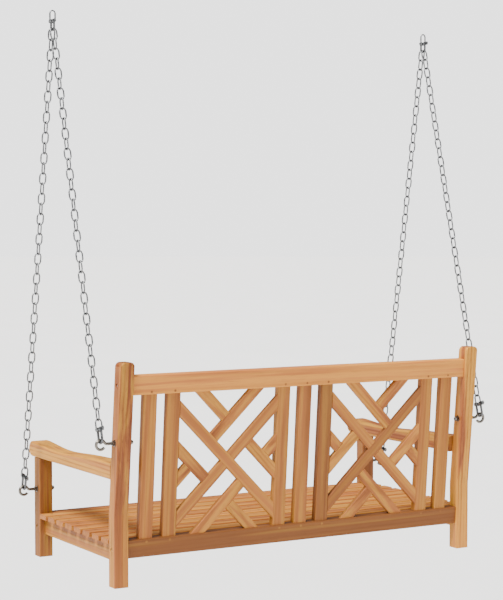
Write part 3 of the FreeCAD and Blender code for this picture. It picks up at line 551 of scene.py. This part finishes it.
def board_grain(node_name):
    """Direction of a board's grain."""
    if node_name.startswith(("back_post", "front_leg")):
        return Vector((0, 0, 1))
    if node_name.startswith("upright"):
        return Vector((0, math.sin(PANEL_SLOPE), math.cos(PANEL_SLOPE)))
    if node_name.startswith(("arm", "side_rail", "seat_bearer")):
        return Vector((0, 1, 0))
    return Vector((1, 0, 0))


def dress_boards(prefixes):
    """Give each board its own cut of teak, at a tone that holds painted light and shade as well as
    the board's own colour.
    """
    look = bpy.context.scene.swing_teak
    names = sorted(name for name in BOARD_LOOKS_AND_PAINTED_LIGHT if name.startswith(prefixes))
    for name in names:
        seed = sum(ord(letter) * (place + 3) for place, letter in enumerate(name))
        tone, gold = BOARD_LOOKS_AND_PAINTED_LIGHT[name]
        dress(name, teak("teak_" + name, middle_of(name), board_grain(name), tone, gold, seed,
                         look))


class SWING_OT_frame(bpy.types.Operator):
    """Finish the posts, legs and rails in teak"""

    bl_idname = "swing.frame"
    bl_label = "Posts, legs and rails"

    def execute(self, context):
        dress_boards(("back_post", "front_leg", "top_rail", "back_rail", "front_rail", "side_rail",
                      "seat_bearer"))
        look = context.scene.swing_teak
        dress("tenon_pins", teak("teak_tenon_pins", middle_of("tenon_pins"), Vector((1, 0, 0)),
                                 0.62, 0.0, 7, look))
        return {"FINISHED"}


class SWING_OT_seat(bpy.types.Operator):
    """Finish the seat slats and arms in teak"""

    bl_idname = "swing.seat"
    bl_label = "Seat slats and arms"

    def execute(self, context):
        dress_boards(("seat_slat", "arm"))
        return {"FINISHED"}


class SWING_OT_uprights(bpy.types.Operator):
    """Finish the uprights of the back in teak"""

    bl_idname = "swing.uprights"
    bl_label = "Uprights"

    def execute(self, context):
        dress_boards(("upright",))
        return {"FINISHED"}


# The same for each family of lattice strips.
LATTICE_LOOKS = {
    "left": {"long_whole": (0.96, 0.02), "long_lapped": (0.82, -0.03),
             "middle": (0.98, 0.02), "short": (0.96, 0.03)},
    "right": {"long_whole": (0.76, -0.05), "long_lapped": (1.0, 0.05),
              "middle": (1.04, 0.03), "short": (1.0, 0.0)},
}


def strip_direction(obj):
    """Direction of the longest edge that runs at 45 degrees."""
    mesh, longest = obj.data, Vector()
    for edge in mesh.edges:
        first, second = (mesh.vertices[index].co for index in edge.vertices)
        run = second - first
        rise = math.hypot(run.y, run.z)
        if abs(abs(run.x) - rise) < 0.1 * run.length and run.length > longest.length:
            longest = run if run.z > 0 else -run
    return longest.normalized()


class SWING_OT_lattice(bpy.types.Operator):
    """Split the two lattice panels into strips, each with its own run of grain"""

    bl_idname = "swing.lattice"
    bl_label = "Lattice strips"

    def execute(self, context):
        look = context.scene.swing_teak
        dice = random.Random(41)
        for side, families in LATTICE_LOOKS.items():
            for family, (tone, gold) in families.items():
                source = "lattice_%s_%s" % (side, family)
                for number, strip in enumerate(loose_parts(source), start=1):
                    name = "strip_%s_%s_%d" % (side, family, number)
                    strip.name = strip.data.name = name
                    choose(strip)
                    if strip.data.has_custom_normals:
                        bpy.ops.mesh.customdata_custom_splitnormals_clear()
                    smooth(strip, 30)
                    shade = tone * dice.uniform(0.93, 1.07)
                    finish(strip, "bench", "teak_back",
                           teak("teak_" + name, centre_of(strip), strip_direction(strip), shade,
                                gold, dice.randrange(10000), look), source)
        return {"FINISHED"}


# ---------------------------------------------------------------- chains

def make_link(sizes, inner_width):
    """One welded link about the origin, long way along Z and flat in XZ."""
    bend = inner_width / 2 + sizes.wire_radius
    straight = sizes.pitch + sizes.play + 2 * sizes.wire_radius - 2 * bend
    half = straight / 2
    weld = straight * WELD_LENGTH_RATIO
    bpy.ops.mesh.primitive_circle_add(vertices=6, radius=sizes.wire_radius,
                                      location=(bend, 0, -half))
    link = named("link")
    edit(link, everything=True)
    for travel, grow, height in ((half - weld, 1, -weld), (weld, WELD_BULGE, 0),
                                 (weld, 1 / WELD_BULGE, weld), (half - weld, 1, half)):
        step((0, 0, travel), grow, (bend, 0, height))
    turn_ring((0, 0, half), (0, 1, 0), HALF_TURN, 4)
    step((0, 0, -straight))
    turn_ring((0, 0, -half), (0, 1, 0), HALF_TURN, 4)
    bpy.ops.mesh.select_all(action="SELECT")
    bpy.ops.mesh.remove_doubles(threshold=1e-5)
    bpy.ops.mesh.normals_make_consistent(inside=False)
    leave_edit()
    smooth(link, 80)
    return link


def chain_ends(end):
    """Middle of the bow's wire and of the eye's top wire, on the +X side."""
    low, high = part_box("hook_bolts")
    if end == "back":
        eye = Vector((0, high.y - HOOK_ROD_RADIUS, high.z - HOOK_ROD_RADIUS))
    else:
        eye = Vector((0, low.y + HOOK_ROD_RADIUS, low.z + FRONT_EYE_REACH))
    bow_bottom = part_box("top_shackles")[0].z
    beside = FIRST_LINK_OFFSET if end == "back" else -FIRST_LINK_OFFSET
    return Vector((0, beside, bow_bottom + TOP_SHACKLE_RADIUS)), eye


class SWING_OT_chains(bpy.types.Operator):
    """Make the four chains link by link, and the two hanging links"""

    bl_idname = "swing.chains"
    bl_label = "Chains and hanging links"

    def execute(self, context):
        sizes = context.scene.swing_chain
        look = context.scene.swing_metal
        zinc = plated("zinc_links", look.zinc, 0.34, 2.0)
        link = make_link(sizes, sizes.inner_width)
        hanging_link = make_link(sizes, sizes.hanging_width)
        dice = random.Random(5)
        for side, sign in (("left", 1), ("right", -1)):
            across = sign * middle_of("hanging_link_left").x
            for end, count in (("front", sizes.front_links), ("back", sizes.back_links)):
                bow, eye = chain_ends(end)
                pull = (bow - eye).normalized()
                lean = Vector((0, 0, 1)).rotation_difference(pull).to_matrix().to_4x4()
                first = TOP_SHACKLE_RADIUS + sizes.play / 2 - sizes.pitch / 2
                made = []
                for index in range(count):
                    place = bow + pull * (first - index * sizes.pitch)
                    place.x = across
                    twist = dice.uniform(-sizes.twist, sizes.twist) + (index % 2) * QUARTER_TURN
                    made.append(copy_to(link, Matrix.Translation(place) @ lean
                                        @ Matrix.Rotation(twist, 4, "Z"), "link_copy"))
                chain = join(made, "links_%s_%s" % (end, side))
                finish(chain, side + "_chains", "zinc_chain", zinc, "chain_%s_%s" % (end, side))
            source = "hanging_link_" + side
            hanging = copy_to(hanging_link, Matrix.Translation(middle_of(source)),
                              "top_link_" + side)
            finish(hanging, "hangers", "zinc_chain", zinc, source)
        remove(link, hanging_link)
        return {"FINISHED"}


class SWING_OT_shackles(bpy.types.Operator):
    """Finish the shackles and their pins in bright zinc"""

    bl_idname = "swing.shackles"
    bl_label = "Shackles and pins"

    def execute(self, context):
        look = context.scene.swing_metal
        bows = plated("zinc_shackles", look.zinc, 0.30, 5.0)
        pins = plated("zinc_pins", look.zinc, 0.36, 8.0)
        for name in ("top_shackles", "lower_shackles_left", "lower_shackles_right"):
            dress(name, bows)
        for name in ("top_shackle_pins", "lower_shackle_pins_left", "lower_shackle_pins_right"):
            dress(name, pins)
        return {"FINISHED"}


# ---------------------------------------------------------------- hook bolts and screws

def make_nut(sizes):
    """A hexagon nut about the origin, its axis along Z and its corners chamfered."""
    corner = sizes.nut_flats / 2 / math.cos(math.pi / 6)
    bpy.ops.mesh.primitive_cylinder_add(vertices=6, radius=corner, depth=sizes.nut_height)
    nut = named("nut")
    bpy.ops.mesh.primitive_cylinder_add(vertices=36, radius=corner * TURNED_BLANK_RATIO,
                                        depth=sizes.nut_height)
    turned = named("turned_blank")
    apply_modifier(turned, "BEVEL", width=NUT_CHAMFER, segments=1, limit_method="ANGLE",
                   angle_limit=math.radians(50))
    apply_modifier(nut, "BOOLEAN", operation="INTERSECT", object=turned, solver="EXACT")
    remove(turned)
    return nut


def make_acorn(sizes):
    """A chamfered nut closed by a dome that points along +Z."""
    nut = make_nut(sizes)
    bpy.ops.mesh.primitive_uv_sphere_add(segments=28, ring_count=16,
                                         radius=sizes.nut_flats / 2 - DOME_INSET,
                                         location=(0, 0, sizes.nut_height / 2))
    dome = named("dome")
    edit(dome, everything=True)
    bpy.ops.mesh.bisect(plane_co=(0, 0, sizes.nut_height / 2 - DOME_SEAT), plane_no=(0, 0, 1),
                        clear_inner=True)
    leave_edit()
    return join([dome, nut], "acorn")


def make_thread(sizes):
    """A helical ridge round the Z axis, on a rod of the hook bolts' size."""
    bpy.ops.mesh.primitive_circle_add(vertices=3, radius=sizes.thread_pitch * RIDGE_RATIO,
                                      location=(HOOK_ROD_RADIUS - RIDGE_SINK, 0, 0),
                                      rotation=(QUARTER_TURN, QUARTER_TURN, 0))
    thread = named("thread")
    apply_modifier(thread, "SCREW", axis="Z", angle=math.tau, screw_offset=sizes.thread_pitch,
                   iterations=THREAD_TURNS, steps=16, render_steps=16, use_merge_vertices=True)
    edit(thread, everything=True)
    bpy.ops.mesh.normals_make_consistent(inside=False)
    leave_edit()
    return thread


def facing_x(place, sign):
    """Matrix that stands a piece made along Z at a place, pointing along X."""
    return Matrix.Translation(place) @ Matrix.Rotation(sign * QUARTER_TURN, 4, "Y")


class SWING_OT_hooks(bpy.types.Operator):
    """Finish the hook bolts, and make their threads, washers, nuts and acorn nuts"""

    bl_idname = "swing.hooks"
    bl_label = "Hook bolts and nuts"

    def execute(self, context):
        sizes = context.scene.swing_fasteners
        look = context.scene.swing_metal
        nickel = plated("nickel_rod", look.nickel, 0.27, 3.0)
        bright = plated("nickel_nuts", look.nickel, 0.24, 6.0)
        dress("hook_bolts", nickel)

        nut = make_nut(sizes)
        threads, nuts = [], []
        thread = make_thread(sizes)
        for low, high in solid_places("hook_nuts"):
            place = (low + high) / 2
            sign = 1 if place.x > 0 else -1
            nuts.append(copy_to(nut, facing_x(place, sign), "nut_copy"))
            start = place + Vector((sign * (sizes.nut_height / 2 + THREAD_GAP), 0, 0))
            threads.append(copy_to(thread, facing_x(start, sign), "thread_copy"))
        finish(join(nuts, "hexagon_nuts"), "bench", "nickel_hook", bright, "hook_nuts")
        ridges = join(threads, "bolt_threads")
        smooth(ridges, 40)
        finish(ridges, "bench", "nickel_hook", nickel)

        acorn = make_acorn(sizes)
        acorns = []
        for low, high in solid_places("acorn_nuts"):
            sign = -1 if low.x > 0 else 1
            outer = high.x if low.x > 0 else low.x
            place = Vector((outer + sign * sizes.nut_height / 2, (low.y + high.y) / 2,
                            (low.z + high.z) / 2))
            acorns.append(copy_to(acorn, facing_x(place, sign), "acorn_copy"))
        domes = join(acorns, "domed_nuts")
        smooth(domes, 35)
        finish(domes, "bench", "nickel_hook", bright, "acorn_nuts")

        low, high = solid_places("hook_washers")[0]
        bpy.ops.mesh.primitive_cylinder_add(vertices=40, radius=(high.y - low.y) / 2,
                                            depth=high.x - low.x)
        washer = named("washer")
        apply_modifier(washer, "BEVEL", width=WASHER_EDGE, segments=2, limit_method="ANGLE")
        rounds = [copy_to(washer, facing_x((low + high) / 2, 1), "washer_copy")
                  for low, high in solid_places("hook_washers")]
        plates = join(rounds, "round_washers")
        smooth(plates, 40)
        finish(plates, "bench", "nickel_hook", bright, "hook_washers")
        remove(nut, thread, acorn, washer)
        return {"FINISHED"}


def cut_recess(head, cutters):
    """Sink a driver's recess into a head."""
    for cutter in cutters:
        apply_modifier(head, "BOOLEAN", operation="DIFFERENCE", object=cutter, solver="EXACT")
    remove(*cutters)


class SWING_OT_screws(bpy.types.Operator):
    """Make the slat screws with a cross recess and the rail bolts with a hexagon socket"""

    bl_idname = "swing.screws"
    bl_label = "Slat screws and rail bolts"

    def execute(self, context):
        sizes = context.scene.swing_fasteners
        metal = context.scene.swing_metal
        steel = plated("bolt_steel", metal.steel, 0.38, 4.0)
        bronze = plated("screw_bronze", metal.bronze, 0.55, 6.0)

        places = solid_places("slat_screws")
        low, high = places[0]
        radius, length = (high.x - low.x) / 2, high.z - low.z
        bpy.ops.mesh.primitive_cylinder_add(vertices=20, radius=radius, depth=length)
        screw = named("screw")
        edit(screw, "FACE")
        select_faces(screw, lambda centre, normal: normal.z < -0.9)
        bpy.ops.transform.resize(value=(SHANK_RATIO, SHANK_RATIO, 1), center_override=(0, 0, 0))
        bpy.ops.transform.translate(value=(0, 0, length - SCREW_HEAD_HEIGHT))
        step((0, 0, SCREW_HEAD_HEIGHT - length))
        leave_edit()
        arms = []
        for turned in (0, QUARTER_TURN):
            bpy.ops.mesh.primitive_cube_add(
                size=1, location=(0, 0, length / 2), rotation=(0, 0, turned),
                scale=(radius * CROSS_ARM_RATIO, CROSS_ARM_WIDTH, 2 * sizes.recess_depth))
            arms.append(named("cross_arm"))
        cut_recess(screw, arms)
        dice = random.Random(12)
        copies = []
        for low, high in places:
            turned = Matrix.Rotation(dice.uniform(0, HALF_TURN), 4, "Z")
            place = (low + high) / 2
            copies.append(copy_to(screw, Matrix.Translation(place) @ turned, "screw_copy"))
        screws = join(copies, "seat_screws")
        smooth(screws, 30)
        finish(screws, "bench", "bolt_steel", bronze, "slat_screws")

        bolts = []
        for number, part in enumerate(loose_parts("rail_bolts"), start=1):
            low, high = corners_of(part)
            outer = high.x if high.x > 0 else low.x
            choose(part)
            if part.data.has_custom_normals:
                bpy.ops.mesh.customdata_custom_splitnormals_clear()
            bpy.ops.mesh.primitive_cylinder_add(
                vertices=6, radius=SOCKET_RADIUS, depth=2 * sizes.recess_depth + SOCKET_MARGIN,
                location=(outer, (low.y + high.y) / 2, (low.z + high.z) / 2),
                rotation=(0, QUARTER_TURN, 0))
            cut_recess(part, [named("socket_%d" % number)])
            bolts.append(part)
        sockets = join(bolts, "socket_bolts")
        smooth(sockets, 30)
        finish(sockets, "bench", "bolt_steel", steel, "rail_bolts")
        remove(screw)
        return {"FINISHED"}


# ---------------------------------------------------------------- stage

def soft_surround(look):
    """A white room: bright overhead, dimmer at eye level, with a plain backdrop."""
    world = bpy.data.worlds.new("soft_surround")
    world.use_nodes = True
    tree = world.node_tree
    direction = node(tree, "ShaderNodeTexCoord").outputs["Generated"]
    height = node(tree, "ShaderNodeSeparateXYZ", {0: direction}).outputs["Z"]
    overhead = ramp(tree, height, [(0.0, grey(0.12)), (0.3, grey(0.32)), (0.65, grey(1.0))])
    room = tree.nodes["Background"]
    tree.links.new(overhead, room.inputs["Color"])
    room.inputs["Strength"].default_value = look.surround
    plain = node(tree, "ShaderNodeBackground", {"Color": (1, 1, 1, 1), "Strength": look.backdrop})
    seen = node(tree, "ShaderNodeLightPath").outputs["Is Camera Ray"]
    both = node(tree, "ShaderNodeMixShader", {0: seen, 1: room.outputs[0], 2: plain.outputs[0]})
    tree.links.new(both.outputs[0], tree.nodes["World Output"].inputs["Surface"])
    return world


def soft_sun(name, towards, spread_degrees, strength, colour):
    """A wide, far light that shines from a direction."""
    data = bpy.data.lights.new(name, "SUN")
    data.energy = strength
    data.angle = math.radians(spread_degrees)
    data.color = colour
    lamp = bpy.data.objects.new(name, data)
    lamp.rotation_euler = (-Vector(towards)).to_track_quat("-Z", "Y").to_euler()
    bpy.context.scene.collection.objects.link(lamp)


class SWING_OT_stage(bpy.types.Operator):
    """Set out the floor, the soft light and the camera"""

    bl_idname = "swing.stage"
    bl_label = "Floor, light and camera"

    def execute(self, context):
        scene = context.scene
        look = scene.swing_stage
        feet = CAD_BOX[0].z
        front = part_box("front_leg_left")[0].y
        bpy.ops.mesh.primitive_circle_add(vertices=96, radius=FLOOR_RADIUS, fill_type="NGON",
                                          location=(0, 0, feet - look.floor_gap))
        floor = named("floor")
        floor.data.materials.append(painted_floor())

        scene.world = soft_surround(look)

        soft_sun("main_light", MAIN_LIGHT_FROM, MAIN_LIGHT_SPREAD, look.key, (1, 0.985, 0.96))
        soft_sun("fill_light", FILL_LIGHT_FROM, FILL_LIGHT_SPREAD, look.fill, (1, 1, 1))

        camera = bpy.data.cameras.new("camera")
        camera.lens = look.lens
        camera.sensor_width = 36
        holder = bpy.data.objects.new("camera", camera)
        holder.location = (CAMERA_ASIDE, front + CAMERA_BEHIND, feet + CAMERA_RISE)
        holder.rotation_euler = (CAMERA_TILT, 0, CAMERA_TURN)
        scene.collection.objects.link(holder)
        scene.camera = holder
        return {"FINISHED"}


# ---------------------------------------------------------------- panel and registration

BUILD_ORDER = (SWING_OT_frame, SWING_OT_seat, SWING_OT_uprights, SWING_OT_lattice,
               SWING_OT_chains, SWING_OT_shackles, SWING_OT_hooks, SWING_OT_screws,
               SWING_OT_stage)


class SWING_PT_build(bpy.types.Panel):
    """Buttons for the swing's pieces"""

    bl_idname = "SWING_PT_build"
    bl_label = "Porch swing"
    bl_space_type = "VIEW_3D"
    bl_region_type = "UI"
    bl_category = "Porch swing"

    def draw(self, context):
        for operator in BUILD_ORDER:
            self.layout.operator(operator.bl_idname)


SETTINGS = {"swing_teak": TeakLook, "swing_metal": MetalLook, "swing_chain": ChainSizes,
            "swing_fasteners": FastenerSizes, "swing_stage": StageLook}


def register():
    for group in SETTINGS.values():
        bpy.utils.register_class(group)
    for name, group in SETTINGS.items():
        setattr(bpy.types.Scene, name, PointerProperty(type=group))
    for operator in BUILD_ORDER:
        bpy.utils.register_class(operator)
    bpy.utils.register_class(SWING_PT_build)


def unregister():
    bpy.utils.unregister_class(SWING_PT_build)
    for operator in reversed(BUILD_ORDER):
        bpy.utils.unregister_class(operator)
    for name in SETTINGS:
        delattr(bpy.types.Scene, name)
    for group in reversed(list(SETTINGS.values())):
        bpy.utils.unregister_class(group)


def main():
    register()
    for operator in BUILD_ORDER:
        group, action = operator.bl_idname.split(".")
        getattr(getattr(bpy.ops, group), action)()


if __name__ == "__main__":
    main()
